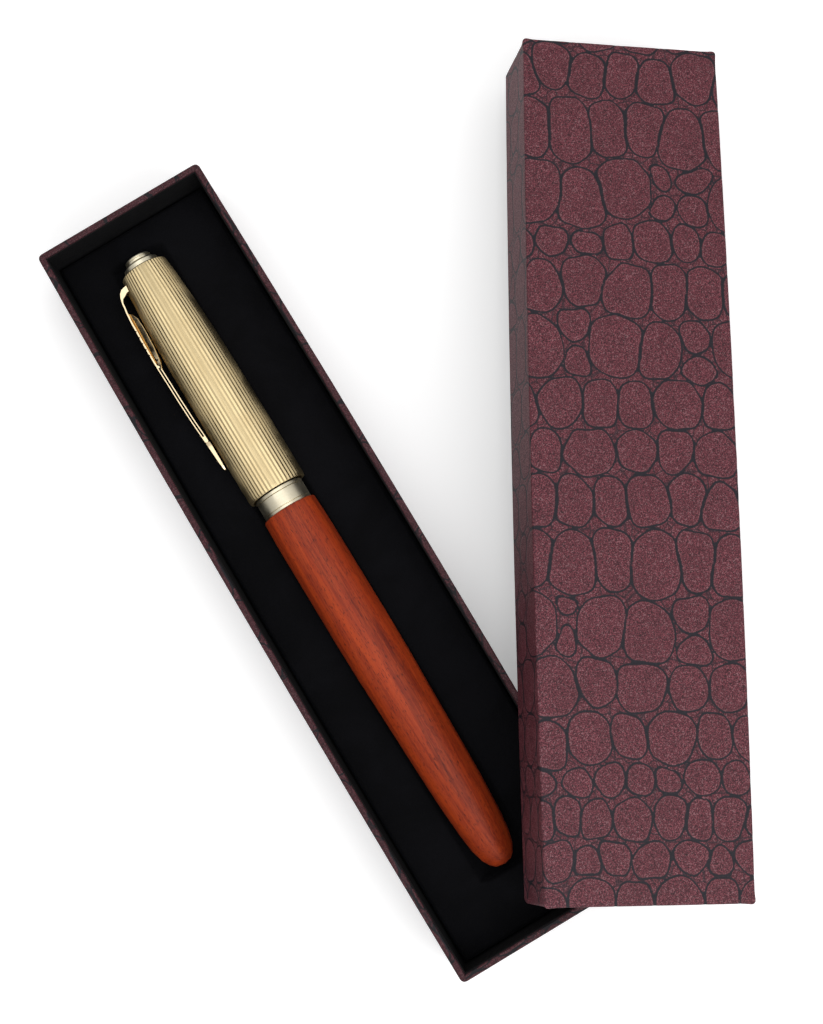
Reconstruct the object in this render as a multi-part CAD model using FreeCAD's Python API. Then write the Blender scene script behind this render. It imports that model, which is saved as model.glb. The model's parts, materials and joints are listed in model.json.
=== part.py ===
import FreeCAD, Part
import math
import os

# Boxed fountain pen: a paper-covered rigid box in two halves (a tray with a
# flocked bed and a lift-off lid) and the pen that lies in the bed.
# Millimetres. +Z is up, +Y runs along the tray towards the pen's cap end.
# The origin is on the underside of the tray, at its middle.

V = FreeCAD.Vector

# ---------------------------------------------------------------- box sizes
TRAY_W = 37.2          # outside width at the ends
TRAY_L = 165.2         # outside length
TRAY_H = 18.8          # outside height
LID_W = 39.8
LID_L = 167.8
LID_H = 15.8
BOW = 0.6              # outward bow of each long wall at its middle
CORNER_R = 1.0         # outer corner radius of the covered box
EDGE_R = 0.35          # rounding of the folded outer edges

WRAP_T = 0.15          # printed cover paper
TRAY_BOARD_T = 1.0     # greyboard of the tray
LID_BOARD_T = 0.9      # greyboard of the lid
LINER_T = 0.15         # black lining paper
STAY_T = 0.12          # paper corner stays
STAY_LEG = 9.0         # width of a stay on each wall
TURN_IN_END = 2.6      # height above the floor where the turned-in cover ends
LINER_DROP = 0.35      # liner stops this far below the rim
GLUE = 0.01            # gap left between glued layers

# ---------------------------------------------------------------- bed sizes
BED_GAP = 0.4          # gap between the bed and the lined walls
BED_TOP = 10.2         # height of the flocked surface
VELVET_T = 0.4         # flocked cover thickness
GROOVE_R = 6.34        # radius of the pen channel at the flocked surface
GROOVE_BACK = 87.6     # channel length from the cap lip towards the barrel end
GROOVE_FRONT = 57.4    # channel length from the cap lip towards the cap end

# ---------------------------------------------------------------- lid pose
# The lid rests on the table at one corner and on the tray's side and end rims.
LID_YAW = -31.09       # turned about Z, degrees
LID_ROLL = 11.521      # leaning across its width, degrees
LID_PITCH = -4.995     # leaning along its length, degrees
LID_AT = V(58.003, -12.987, 11.105)

# ---------------------------------------------------------------- pen sizes
PEN_AT = V(-1.224, 18.0, 12.3)   # centre of the cap lip on the pen's axis
PEN_YAW = 0.62                   # the pen lies slightly askew in the tray
CLIP_AZIMUTH = 2.0               # clip raised from level, about the pen's axis

# Outer radius of the cap from its lip (0) to its closed end.
CAP_OUTER = [
    (0.0, 6.15), (0.7, 6.26), (13.2, 6.25), (23.2, 6.22), (31.2, 6.15), (37.2, 6.00),
    (42.2, 5.80), (46.2, 5.58), (49.7, 5.32), (52.2, 5.10), (52.9, 5.00), (53.1, 4.82),
]
FLUTES = 48
FLUTE_DEPTH = 0.11
FLUTE_SHAPE = ((0.0, 1.0), (0.2, 0.62), (0.5, 0.0), (0.8, 0.62))   # share of pitch, of depth
CAP_WALL = 0.62
CAP_LIP_GAP = 0.05
CAP_END_T = 0.7
SCREW_R = 1.5          # stem of the top button
SLOT_LOW = 50.0        # slot in the cap wall for the clip's root
SLOT_HIGH = 51.9
SLOT_HALF_W = 1.75
LINER_LOW = 3.0        # inner cap
LINER_STEP = 46.6
LINER_HIGH = 49.1

FINIAL_BASE = CAP_OUTER[-1][0] + 0.01
FINIAL_RING_R = 3.77
FINIAL_RING_L = 1.35
BUTTON_R = 2.80
BUTTON_NECK_R = 2.45
SCREW_END = 47.1

# Outer radius of the wooden barrel, from its open end back to its tip.
BARREL_OUTER = [
    (-4.5, 5.62), (-4.8, 5.75), (-8.8, 5.88), (-12.8, 5.92), (-24.8, 5.93), (-32.8, 5.95),
    (-40.8, 5.86), (-44.8, 5.74), (-52.8, 5.55), (-60.8, 5.36), (-68.8, 5.14), (-72.8, 4.90),
    (-76.8, 4.64), (-80.8, 4.20), (-83.3, 3.50), (-84.8, 2.68), (-85.7, 1.70), (-86.1, 0.0),
]
SLEEVE_OUT_R = 4.50
SLEEVE_IN_R = 4.15
SLEEVE_END = -58.0
BORE_END = -68.0
BORE_END_R = 4.0

RING_R = 5.15          # band between the cap and the barrel
RING_L = 4.45
RING_LINES = (-0.85, -3.75)
RING_LINE_W = 0.16
RING_LINE_D = 0.12
TAIL_R = 4.10          # threaded tail of the grip section
TAIL_END = -13.0
THREAD_START = -5.4
THREAD_TURNS = 8
THREAD_PITCH = 0.85
THREAD_D = 0.22

NIPPLE_R = 1.50
SOCKET_R = 3.38
TUBE_R = 3.30
TUBE_BORE = 2.75
TUBE_MOUTH = -3.5
TUBE_CHAMBER = -11.0
TUBE_END = -50.0
PISTON_REST = -12.0
PISTON_L = 4.0
KNOB_START = -58.1
KNOB_END = -66.0
KNOB_R = 3.30
KNURLS = 20

NIB_R = 3.05
NIB_T = 0.28
NIB_BACK = 9.0
NIB_TIP = 42.4


def polygon(points):
    """Planar face from a closed list of points."""
    closed = list(points) + [points[0]]
    return Part.Face(Part.makePolygon(closed))


def turned(profile):
    """Solid of revolution about the pen's axis (Y) from (position, radius) points."""
    points = [V(r, p, 0) for p, r in profile]
    return polygon(points).revolve(V(0, 0, 0), V(0, 1, 0), 360)


def rod(radius, start, end):
    """Cylinder on the pen's axis between two positions."""
    low = min(start, end)
    return Part.makeCylinder(radius, abs(end - start), V(0, low, 0), V(0, 1, 0))


def box(x0, x1, y0, y1, z0, z1):
    return Part.makeBox(x1 - x0, y1 - y0, z1 - z0, V(x0, y0, z0))


def bowed_block(width, length, z0, z1, radius):
    """Upright block whose long sides bow outwards, with rounded corners."""
    x = width / 2.0
    y = length / 2.0
    right = Part.Arc(V(x, -y, z0), V(x + BOW, 0, z0), V(x, y, z0)).toShape()
    far = Part.makeLine(V(x, y, z0), V(-x, y, z0))
    left = Part.Arc(V(-x, y, z0), V(-x - BOW, 0, z0), V(-x, -y, z0)).toShape()
    near = Part.makeLine(V(-x, -y, z0), V(x, -y, z0))
    face = Part.Face(Part.Wire([right, far, left, near]))
    solid = face.extrude(V(0, 0, z1 - z0))
    if radius <= 0:
        return solid
    upright = [e for e in solid.Edges if abs(e.BoundBox.ZLength - (z1 - z0)) < 1e-6
               and e.BoundBox.XLength < 1e-6 and e.BoundBox.YLength < 1e-6]
    return solid.makeFillet(radius, upright)


def soften_base(solid, z, radius):
    """Round the outline edges of a block at height z."""
    edges = [e for e in solid.Edges if e.BoundBox.ZLength < 1e-6
             and abs(e.BoundBox.ZMin - z) < 1e-6]
    return solid.makeFillet(radius, edges)


# ------------------------------------------------------- one half of the box
def box_half(width, length, height, board_t):
    """Board shell, corner stays, printed cover and lining of an open-topped half.

    The floor is at z = 0 and the open rim at z = height.
    """
    wall = WRAP_T + board_t
    outer = bowed_block(width, length, 0, height, CORNER_R)
    outer = soften_base(outer, 0, EDGE_R)

    board_top = height - WRAP_T
    inset = 2 * WRAP_T
    board_out = bowed_block(width - inset, length - inset, WRAP_T, board_top, CORNER_R - WRAP_T)
    board_out = soften_base(board_out, WRAP_T, EDGE_R - WRAP_T)
    board_in = bowed_block(width - 2 * wall, length - 2 * wall, wall, height + 1, 0)
    board_solid = board_out.cut(board_in)

    # Stays lie in a shallow step over each outside corner of the board.
    step = 2 * (WRAP_T + STAY_T)
    core = bowed_block(width - step, length - step, 0, height, CORNER_R - WRAP_T - STAY_T)
    stays = []
    corner_blocks = []
    low = WRAP_T + EDGE_R
    high = board_top - 0.6
    for sx in (-1, 1):
        for sy in (-1, 1):
            cx = sx * width / 2.0
            cy = sy * length / 2.0
            block = Part.makeBox(2 * STAY_LEG, 2 * STAY_LEG, high - low,
                                 V(cx - STAY_LEG, cy - STAY_LEG, low))
            skin = board_out.common(block).cut(core)
            corner_blocks.append(skin)
            inner = Part.makeBox(2 * STAY_LEG - 0.1, 2 * STAY_LEG - 0.1, high - low - 0.1,
                                 V(cx - STAY_LEG + 0.05, cy - STAY_LEG + 0.05, low + 0.05))
            stays.append(skin.common(inner))
    board = board_solid
    for block in corner_blocks:
        board = board.cut(block)

    # The cover goes round the outside, over the rim and down the inside.
    turn_out = bowed_block(width - 2 * wall, length - 2 * wall, TURN_IN_END, height + 1, 0)
    cover_wall = wall + WRAP_T
    turn_in = bowed_block(width - 2 * cover_wall, length - 2 * cover_wall, 0, height + 1, 0)
    sheet = outer.cut(board_out)
    turned_in = turn_out.cut(turn_in)
    turned_in = turned_in.common(bowed_block(width, length, TURN_IN_END, height, 0))
    hollow = bowed_block(width - 2 * cover_wall, length - 2 * cover_wall, wall, height + 1, 0)
    rim = outer.common(bowed_block(width + 2, length + 2, board_top, height, 0)).cut(hollow)
    cover = sheet.cut(bowed_block(width + 2, length + 2, board_top, height + 1, 0))
    cover = cover.fuse([turned_in, rim]).removeSplitter()

    # The lining covers the turned-in edge and the floor.
    liner_wall = cover_wall + GLUE
    liner_top = height - LINER_DROP
    liner_out = bowed_block(width - 2 * liner_wall, length - 2 * liner_wall,
                            wall + GLUE, liner_top, 0)
    lined_wall = liner_wall + LINER_T
    liner_in = bowed_block(width - 2 * lined_wall, length - 2 * lined_wall,
                           wall + GLUE + LINER_T, liner_top + 1, 0)
    liner = liner_out.cut(liner_in)
    return board, Part.makeCompound(stays), cover, liner, lined_wall, wall + GLUE + LINER_T


def lid_place(shape):
    """Turn a half upside down and lean it on the tray."""
    flipped = shape.copy()
    flipped.rotate(V(0, 0, 0), V(0, 1, 0), 180)
    flipped.translate(V(0, 0, LID_H))
    turn = FreeCAD.Rotation(LID_YAW, LID_ROLL, LID_PITCH)
    flipped.Placement = FreeCAD.Placement(LID_AT, turn).multiply(flipped.Placement)
    return flipped


def pen_place(shape):
    """Move a piece from the pen's own axis to its place in the bed."""
    turn = FreeCAD.Rotation(V(0, 0, 1), PEN_YAW)
    moved = shape.copy()
    moved.Placement = FreeCAD.Placement(PEN_AT, turn).multiply(moved.Placement)
    return moved


# ------------------------------------------------------------------ the bed
def pen_channel(radius, extra):
    """Room for the pen: a round-bottomed channel open upwards."""
    start = -GROOVE_BACK - extra
    end = GROOVE_FRONT + extra
    round_part = rod(radius, start, end)
    above = box(-radius, radius, start, end, 0, 20)
    return pen_place(round_part.fuse(above))


def bed(lined_wall, floor_z):
    width = TRAY_W - 2 * lined_wall - 2 * BED_GAP
    length = TRAY_L - 2 * lined_wall - 2 * BED_GAP
    outer = bowed_block(width, length, floor_z + GLUE, BED_TOP, 0.8)
    outer = soften_base(outer, BED_TOP, 0.3)
    velvet_out = outer.cut(pen_channel(GROOVE_R, 0))
    core = bowed_block(width - 2 * VELVET_T, length - 2 * VELVET_T,
                       floor_z + GLUE, BED_TOP - VELVET_T, 0.6)
    foam_big = core.cut(pen_channel(GROOVE_R + VELVET_T, VELVET_T))
    velvet = velvet_out.cut(foam_big)
    slim = bowed_block(width - 2 * VELVET_T - 2 * GLUE, length - 2 * VELVET_T - 2 * GLUE,
                       floor_z + GLUE, BED_TOP - VELVET_T - GLUE, 0.6)
    foam = slim.cut(pen_channel(GROOVE_R + VELVET_T + GLUE, VELVET_T + GLUE))
    return foam, velvet


# -------------------------------------------------------------------- cap
def radius_at(profile, position):
    for (p0, r0), (p1, r1) in zip(profile, profile[1:]):
        if min(p0, p1) <= position <= max(p0, p1):
            return r0 + (r1 - r0) * (position - p0) / (p1 - p0)
    return profile[-1][1]


def fluted_wire(position, radius, depth):
    """Ring of ridges and grooves at one position along the cap."""
    points = []
    pitch = 2 * math.pi / FLUTES
    for i in range(FLUTES):
        for share, drop in FLUTE_SHAPE:
            angle = (i + share) * pitch
            r = radius - drop * depth
            points.append(V(r * math.cos(angle), position, r * math.sin(angle)))
    return Part.makePolygon(points + [points[0]])


def cap_shell():
    wires = []
    last = len(CAP_OUTER) - 1
    for i, (p, r) in enumerate(CAP_OUTER):
        p = max(p, CAP_LIP_GAP)
        depth = FLUTE_DEPTH
        if i in (0, last):
            depth = FLUTE_DEPTH * 0.5
        wires.append(fluted_wire(p, r, depth))
    body = Part.makeLoft(wires, True, True)
    top = CAP_OUTER[-1][0] - CAP_END_T
    inner = [(-1.0, 0.0), (-1.0, CAP_OUTER[1][1] - CAP_WALL)]
    for p, r in CAP_OUTER[1:]:
        if p < top:
            inner.append((p, r - CAP_WALL))
    inner.append((top, radius_at(CAP_OUTER, top) - CAP_WALL))
    inner.append((top, 0.0))
    body = body.cut(turned(inner))
    body = body.cut(rod(SCREW_R + 0.05, top - 1, CAP_OUTER[-1][0] + 1))
    slot = box(-8, -3, SLOT_LOW, SLOT_HIGH, -SLOT_HALF_W, SLOT_HALF_W)
    slot.rotate(V(0, 0, 0), V(0, 1, 0), CLIP_AZIMUTH)
    return body.cut(slot)


def cap_liner():
    """Plastic inner cap that seals over the nib and carries the top screw."""
    inner = [(LINER_LOW, 4.90), (21.6, 4.90), (23.0, 3.75), (LINER_STEP, 3.75),
             (LINER_STEP, SCREW_R + 0.03), (LINER_HIGH, SCREW_R + 0.03)]
    outer = [(LINER_LOW, radius_at(CAP_OUTER, LINER_LOW) - CAP_WALL - 0.02)]
    for p, r in CAP_OUTER:
        if LINER_LOW < p < LINER_HIGH:
            outer.append((p, r - CAP_WALL - 0.02))
    outer.append((LINER_HIGH, radius_at(CAP_OUTER, LINER_HIGH) - CAP_WALL - 0.02))
    return turned(inner + outer[::-1])


def finial_ring():
    top = FINIAL_BASE + FINIAL_RING_L
    profile = [
        (FINIAL_BASE, SCREW_R + 0.04), (FINIAL_BASE, FINIAL_RING_R - 0.12),
        (FINIAL_BASE + 0.12, FINIAL_RING_R), (top - 0.2, FINIAL_RING_R),
        (top, FINIAL_RING_R - 0.2), (top, SCREW_R + 0.04),
    ]
    return turned(profile)


def finial_screw():
    """Top button with a stem that clamps ring, cap and clip to the inner cap."""
    seat = FINIAL_BASE + FINIAL_RING_L + 0.01
    groove = seat + 0.80
    profile = [
        (SCREW_END, 0.0), (SCREW_END, SCREW_R - 0.2), (SCREW_END + 0.2, SCREW_R),
        (seat, SCREW_R), (seat, BUTTON_NECK_R), (seat + 0.22, BUTTON_NECK_R),
        (seat + 0.30, BUTTON_R - 0.06), (seat + 0.38, BUTTON_R), (groove - 0.08, BUTTON_R),
        (groove - 0.04, BUTTON_R - 0.12), (groove + 0.04, BUTTON_R - 0.12),
        (groove + 0.08, BUTTON_R), (seat + 1.14, BUTTON_R), (seat + 1.30, BUTTON_R - 0.08),
        (seat + 1.42, BUTTON_R - 0.24), (seat + 1.50, BUTTON_R - 0.50), (seat + 1.54, 1.6),
        (seat + 1.55, 0.0),
    ]
    return turned(profile)


# ------------------------------------------------------------------- clip
# Outer and inner faces of the clip: (position along the pen, distance from its axis).
CLIP_OUTER = [
    (51.70, 4.60), (51.60, 5.30), (51.40, 6.00), (50.85, 6.60), (50.05, 7.00), (48.75, 7.33),
    (47.75, 7.43), (46.75, 7.60), (45.75, 7.68), (44.75, 7.78), (41.75, 7.88), (39.75, 7.96),
    (35.75, 8.03), (33.75, 8.03), (30.75, 7.96), (25.75, 7.88), (20.75, 7.73), (16.75, 7.50),
    (15.90, 7.45), (15.70, 7.30), (15.50, 7.43), (14.75, 7.38), (12.75, 7.27), (10.75, 7.18),
    (9.25, 6.98), (8.85, 6.88),
]
CLIP_INNER = [
    (50.45, 4.60), (50.35, 5.35), (49.90, 6.00), (49.60, 6.63), (49.05, 6.95), (48.75, 7.03),
    (47.75, 7.13), (46.75, 7.30), (45.75, 7.38), (44.75, 7.48), (41.75, 7.58), (39.75, 7.66),
    (35.75, 7.73), (34.40, 7.73), (33.90, 7.25), (30.75, 7.18), (25.75, 7.10), (20.75, 6.95),
    (16.75, 6.74), (15.90, 6.72), (15.70, 6.86), (15.50, 6.60), (14.75, 6.56), (12.75, 6.58),
    (10.75, 6.62), (9.25, 6.70), (8.85, 6.78),
]
# Half width of the clip at positions along the pen.
CLIP_PLAN = [
    (52.0, 1.60), (48.0, 1.60), (45.0, 1.50), (40.0, 1.30), (35.0, 1.08), (34.0, 0.95),
    (16.2, 0.95), (15.7, 0.84), (15.3, 1.04), (14.2, 1.24), (12.0, 1.25), (10.6, 1.06),
    (9.7, 0.76), (9.1, 0.42), (8.8, 0.0),
]
# Free edge of each side vane: (position, distance from the axis, distance off centre).
VANE_EDGE = [
    (46.5, 7.20, 1.10), (45.7, 6.60, 1.60), (44.5, 6.15, 1.95), (42.7, 6.05, 2.10),
    (40.7, 6.10, 2.10), (37.7, 6.30, 1.98), (35.2, 6.60, 1.60), (33.9, 6.95, 1.20),
    (33.1, 7.30, 0.90),
]
VANE_T = 0.28
VANE_ROOT = 0.30       # vane root's distance off the clip's centre line
RAIL_T = 0.20          # rails left above and below the long window in the bar
WINDOW_H = 0.38
WINDOW_LOW = 17.0
WINDOW_HIGH = 33.8
CROSS_GROOVES = (36.9, 38.3, 39.7, 41.1, 42.5)
CROSS_GROOVE_W = 0.30
CROSS_GROOVE_D = 0.14
CLIP_RING_R = 3.4
CLIP_RING_LOW = 50.75
CLIP_RING_T = 0.5
CLIP_TAB_W = 1.5


def side_outline(outer, inner, low):
    """Face in the clip's middle plane between two runs of (position, distance) points."""
    points = [V(-r, p, low) for p, r in outer] + [V(-r, p, low) for p, r in inner[::-1]]
    return polygon(points)


def clip_vane(side):
    """Thin curved leaf from the strip's inner face towards the cap, on one side."""
    wires = []
    for p, r_edge, off in VANE_EDGE:
        root = radius_at(CLIP_INNER, p) + 0.12
        mid_r = (root + r_edge) / 2 + 0.10
        mid_off = (VANE_ROOT + off) / 2 + 0.12
        section = [
            (root + VANE_T / 2, VANE_ROOT), (mid_r + VANE_T / 2, mid_off + VANE_T / 2),
            (r_edge + 0.1, off + 0.05), (r_edge, off), (r_edge + 0.06, off - VANE_T),
            (mid_r - VANE_T / 2, mid_off - VANE_T / 2), (root - VANE_T / 2, VANE_ROOT),
        ]
        corners = [V(-r, p, side * z) for r, z in section]
        wires.append(Part.makePolygon(corners + [corners[0]]))
    return Part.makeLoft(wires, True, True)


def clip():
    """Sprung clip: ring under the top button, shoulder, leaf, grooved bar and tip."""
    strip = side_outline(CLIP_OUTER, CLIP_INNER, -3).extrude(V(0, 0, 6))
    face_points = [V(-10, p, w) for p, w in CLIP_PLAN] + [V(-10, p, -w) for p, w in CLIP_PLAN[-2::-1]]
    strip = strip.common(polygon(face_points).extrude(V(10, 0, 0)))
    run = [p for p, _ in CLIP_OUTER if WINDOW_LOW < p < WINDOW_HIGH] + [WINDOW_LOW]
    upper = [(p, radius_at(CLIP_OUTER, p) - RAIL_T) for p in run]
    lower = [(p, r - WINDOW_H) for p, r in upper]
    strip = strip.cut(side_outline(upper, lower, -2).extrude(V(0, 0, 4)))
    strip = strip.fuse([clip_vane(1), clip_vane(-1)])
    for p in CROSS_GROOVES:
        bed_r = radius_at(CLIP_OUTER, p) - CROSS_GROOVE_D
        groove = box(-9, -bed_r, p - CROSS_GROOVE_W / 2, p + CROSS_GROOVE_W / 2, -2, 2)
        strip = strip.cut(groove)
    ring = rod(CLIP_RING_R, CLIP_RING_LOW, CLIP_RING_LOW + CLIP_RING_T)
    tab = box(-4.8, -2.0, CLIP_RING_LOW, CLIP_RING_LOW + CLIP_RING_T, -CLIP_TAB_W, CLIP_TAB_W)
    ring = ring.fuse(tab).cut(rod(SCREW_R + 0.3, 40, 60))
    strip = strip.fuse(ring).removeSplitter()
    strip.rotate(V(0, 0, 0), V(0, 1, 0), CLIP_AZIMUTH)
    return strip


# ------------------------------------------------------- section and nib
def grip_section():
    """Hollow grip with a threaded tail, a feed bore and the converter nipple."""
    outer = [
        (20.0, 3.45), (20.0, 4.10), (19.6, 4.35), (18.9, 4.42), (18.0, 4.28), (15.0, 4.20),
        (9.0, 4.42), (3.0, 4.72), (0.02, 4.78), (0.02, 4.90), (-0.02, 4.90), (-0.02, TAIL_R),
        (-RING_L - 0.3, TAIL_R), (THREAD_START + 0.3, TAIL_R - THREAD_D),
    ]
    p = THREAD_START
    for _ in range(THREAD_TURNS):
        outer.append((p, TAIL_R - THREAD_D))
        outer.append((p - 0.22, TAIL_R))
        outer.append((p - 0.42, TAIL_R))
        outer.append((p - 0.64, TAIL_R - THREAD_D))
        p -= THREAD_PITCH
    outer.append((TAIL_END, TAIL_R - THREAD_D))
    inner = [
        (TAIL_END, SOCKET_R), (-3.2, SOCKET_R), (-3.2, NIPPLE_R), (-9.6, NIPPLE_R),
        (-10.0, NIPPLE_R - 0.3), (-10.0, 0.7), (4.6, 0.7), (4.6, NIB_R + 0.05), (20.0, NIB_R + 0.05),
    ]
    return turned(outer + inner)


def coupling_ring():
    """Band between cap and barrel with two engraved lines."""
    inner = TAIL_R + 0.03
    profile = [(-0.04, inner), (-0.04, RING_R - 0.1), (-0.14, RING_R)]
    for line in RING_LINES:
        profile.append((line + RING_LINE_W / 2, RING_R))
        profile.append((line + RING_LINE_W / 4, RING_R - RING_LINE_D))
        profile.append((line - RING_LINE_W / 4, RING_R - RING_LINE_D))
        profile.append((line - RING_LINE_W / 2, RING_R))
    profile += [(-RING_L + 0.1, RING_R), (-RING_L, RING_R - 0.1), (-RING_L, inner)]
    return turned(profile)


def feed():
    """Ink feed: round plug with comb fins below and an ink channel on top."""
    radius = NIB_R - NIB_T - 0.03
    body = rod(radius, 5.0, 38.0)
    collar = rod(NIB_R + 0.02, 5.0, NIB_BACK - 0.1)
    body = body.fuse(collar)
    under = [V(0, 27, -4), V(0, 27, -radius), V(0, 33, -1.6), V(0, 36.5, 0.6), V(0, 38.2, 1.7),
             V(0, 40, 1.7), V(0, 40, -4)]
    wedge = polygon([p + V(-4, 0, 0) for p in under]).extrude(V(8, 0, 0))
    body = body.cut(wedge)
    for side in (-1, 1):
        cheek = [V(side * 4, 27, -4), V(side * radius, 27, -4), V(side * 0.7, 38.2, -4),
                 V(side * 4, 38.2, -4)]
        body = body.cut(polygon(cheek).extrude(V(0, 0, 8)))
    for k in range(9):
        start = 21.2 + k * 1.15
        fin_gap = box(-4, 4, start, start + 0.5, -4, 0.2)
        keel = rod(1.7, start - 1, start + 2)
        body = body.cut(fin_gap.cut(keel))
    channel = box(-0.3, 0.3, 4.0, 36.8, radius - 0.7, radius + 1)
    return body.cut(channel)


def nib():
    """Curved steel nib with shoulders, a breather hole and a slit."""
    tube = rod(NIB_R, NIB_BACK, NIB_TIP).cut(rod(NIB_R - NIB_T, NIB_BACK - 1, NIB_TIP + 1))
    plan = [
        (8.0, 2.95), (20.0, 2.95), (21.5, 3.02), (23.5, 3.0), (26.0, 2.72), (29.0, 2.2),
        (32.5, 1.55), (36.0, 1.0), (39.5, 0.58), (41.8, 0.36), (NIB_TIP, 0.3),
    ]
    points = [V(w, p, 0.3) for p, w in plan] + [V(-w, p, 0.3) for p, w in plan[::-1]]
    mask = polygon(points).extrude(V(0, 0, 4))
    leaf = tube.common(mask)
    hole = Part.makeCylinder(0.65, 6, V(0, 29.6, 0), V(0, 0, 1))
    slit = box(-0.05, 0.05, 29.6, NIB_TIP - 0.35, 0, 5)
    return leaf.cut(hole).cut(slit)


def nib_point():
    """Hard writing pellet at the end of the nib."""
    centre = V(0, NIB_TIP + 0.36, NIB_R - 0.34)
    ball = Part.makeSphere(0.38, centre)
    return ball.cut(box(-1, 1, NIB_TIP - 2, NIB_TIP + 0.01, 0, 5))


# ------------------------------------------------------------- converter
def converter_tube():
    profile = [
        (TUBE_MOUTH, NIPPLE_R + 0.02), (TUBE_MOUTH, TUBE_R - 0.3), (TUBE_MOUTH - 0.3, TUBE_R),
        (TUBE_END, TUBE_R), (TUBE_END, TUBE_BORE), (TUBE_CHAMBER, TUBE_BORE),
        (TUBE_CHAMBER + 0.3, NIPPLE_R + 0.02),
    ]
    return turned(profile)


def converter_collar():
    """Metal sleeve that joins the ink tube to the turning knob."""
    inner = TUBE_R + 0.02
    profile = [
        (-44.0, inner), (-44.0, inner + 0.2), (-44.2, inner + 0.35), (-55.6, inner + 0.35),
        (-55.7, inner + 0.25), (-56.0, inner + 0.25), (-56.1, inner + 0.35),
        (-57.8, inner + 0.35), (-58.0, inner + 0.25), (-58.0, inner),
    ]
    return turned(profile)


def converter_guide():
    """Bush in the tube's end that keeps the piston rod straight."""
    return rod(TUBE_BORE - 0.02, TUBE_END + 0.1, TUBE_END + 4.1).cut(rod(ROD_R + 0.05, -60, -40))


ROD_R = 1.5
SPINDLE_R = 0.8


def converter_knob():
    """Turning knob with a neck in the collar and the drive spindle."""
    wire = []
    for i in range(KNURLS):
        for share, drop in ((0.0, 0.15), (0.25, 0.0), (0.75, 0.0)):
            angle = 2 * math.pi * (i + share) / KNURLS
            r = KNOB_R - drop
            wire.append(V(r * math.cos(angle), KNOB_START, r * math.sin(angle)))
    head = polygon(wire).extrude(V(0, KNOB_END - KNOB_START, 0))
    trim = turned([
        (KNOB_START + 1, 0.0), (KNOB_START + 1, 5.0), (KNOB_START, KNOB_R - 0.25),
        (KNOB_START - 0.25, KNOB_R), (KNOB_END + 0.4, KNOB_R), (KNOB_END, KNOB_R - 0.5),
        (KNOB_END, 0.0),
    ])
    head = head.common(trim)
    neck = rod(TUBE_R - 0.05, TUBE_END - 0.1, KNOB_START)
    body = head.fuse(neck)
    body = body.cut(rod(ROD_R + 0.25, TUBE_END + 1, -64.5))
    spindle = rod(SPINDLE_R, -38.0, -64.6)
    return body.fuse(spindle).removeSplitter()


def piston_rod():
    """Hollow rod that rides on the spindle and carries the seal."""
    outside = rod(ROD_R, PISTON_REST - 0.4, -43.0)
    bore = rod(SPINDLE_R + 0.06, -20.0, -44.0)
    neck = rod(ROD_R, PISTON_REST - 0.4, PISTON_REST - PISTON_L - 0.05)
    slim = rod(0.9, PISTON_REST - 0.4, PISTON_REST - PISTON_L - 0.05)
    flange = rod(2.4, PISTON_REST - PISTON_L - 0.05, PISTON_REST - PISTON_L - 0.85)
    return outside.cut(neck).fuse([slim, flange]).cut(bore).removeSplitter()


def piston_seal():
    """Rubber piston with two sealing lips."""
    back = PISTON_REST - PISTON_L
    bore = TUBE_BORE - 0.02
    profile = [
        (PISTON_REST, 0.0), (PISTON_REST, bore - 0.7), (PISTON_REST - 0.4, bore - 0.1),
        (PISTON_REST - 0.7, bore), (PISTON_REST - 1.1, bore), (PISTON_REST - 1.4, bore - 0.35),
        (back + 1.4, bore - 0.35), (back + 1.1, bore), (back + 0.6, bore), (back, bore - 0.3),
        (back, 0.92), (PISTON_REST - 0.38, 0.92), (PISTON_REST - 0.38, 0.0),
    ]
    return turned(profile)


# ----------------------------------------------------------------- barrel
def barrel_wood():
    outer = list(BARREL_OUTER)
    inner = [
        (BORE_END, 0.0), (BORE_END, BORE_END_R), (SLEEVE_END - 0.1, BORE_END_R),
        (SLEEVE_END - 0.1, SLEEVE_OUT_R + 0.01), (BARREL_OUTER[0][0], SLEEVE_OUT_R + 0.01),
    ]
    return turned(outer + inner)


def barrel_sleeve():
    start = BARREL_OUTER[0][0] - 0.05
    profile = [
        (start, SLEEVE_IN_R + 0.15), (start, SLEEVE_OUT_R), (SLEEVE_END, SLEEVE_OUT_R),
        (SLEEVE_END, SLEEVE_IN_R), (start - 0.15, SLEEVE_IN_R),
    ]
    return turned(profile)


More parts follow.
